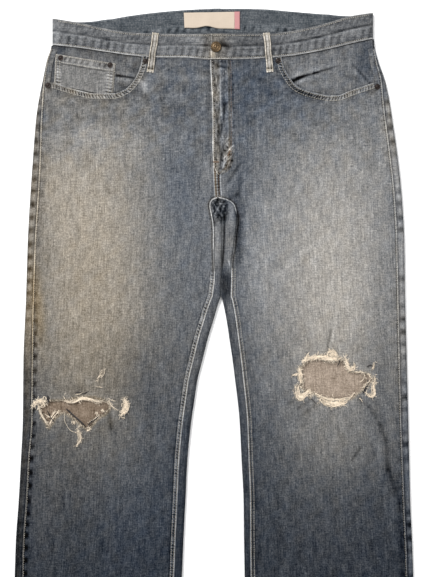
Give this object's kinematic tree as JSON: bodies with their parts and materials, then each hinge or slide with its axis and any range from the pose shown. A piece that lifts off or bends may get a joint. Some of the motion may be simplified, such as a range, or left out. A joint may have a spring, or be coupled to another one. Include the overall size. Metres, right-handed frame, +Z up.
{
  "type": "ripped jeans",
  "caption": "Worn blue denim jeans laid flat, front up, with a frayed rip at each knee.",
  "frame": {"origin": "middle of the underside of the bounding box, on the surface that the jeans lie on", "axes": "+X towards the wearer's left leg, +Y towards the waistband, +Z up out of the front of the jeans"},
  "size_m": [0.6517, 1.1169, 0.0127],
  "materials": {
    "denim": "worn woven cotton",
    "denim_back": "inside of worn denim",
    "denim_faded": "faded woven cotton",
    "label_cloth": "smooth woven tape",
    "frayed_yarn": "frayed cotton",
    "button_metal": "antique",
    "rivet_metal": "darkened copper"
  },
  "bodies": {
    "root": {"front_right": "denim", "yoke_right": "denim", "back_right": "denim_back", "waistband_right": "denim", "pocket_facing_right": "denim_faded", "back_pocket_right": "denim", "front_left": "denim", "yoke_left": "denim", "back_left": "denim_back", "waistband_left": "denim", "pocket_facing_left": "denim_faded", "back_pocket_left": "denim", "waistband_back": "denim", "coin_pocket": "denim_faded", "fly_placket": "denim", "loop_front_right": "denim_faded", "loop_front_left": "denim_faded", "loop_back_right": "denim", "loop_back_centre": "denim", "loop_back_left": "denim", "label": "label_cloth", "button": "button_metal", "rivet_right_outer": "rivet_metal", "rivet_right_inner": "rivet_metal", "rivet_left_outer": "rivet_metal", "rivet_left_inner": "rivet_metal", "rivet_coin_outer": "rivet_metal", "rivet_coin_inner": "rivet_metal", "fray_right": "frayed_yarn", "fray_left": "frayed_yarn"}
  },
  "joints": []
}
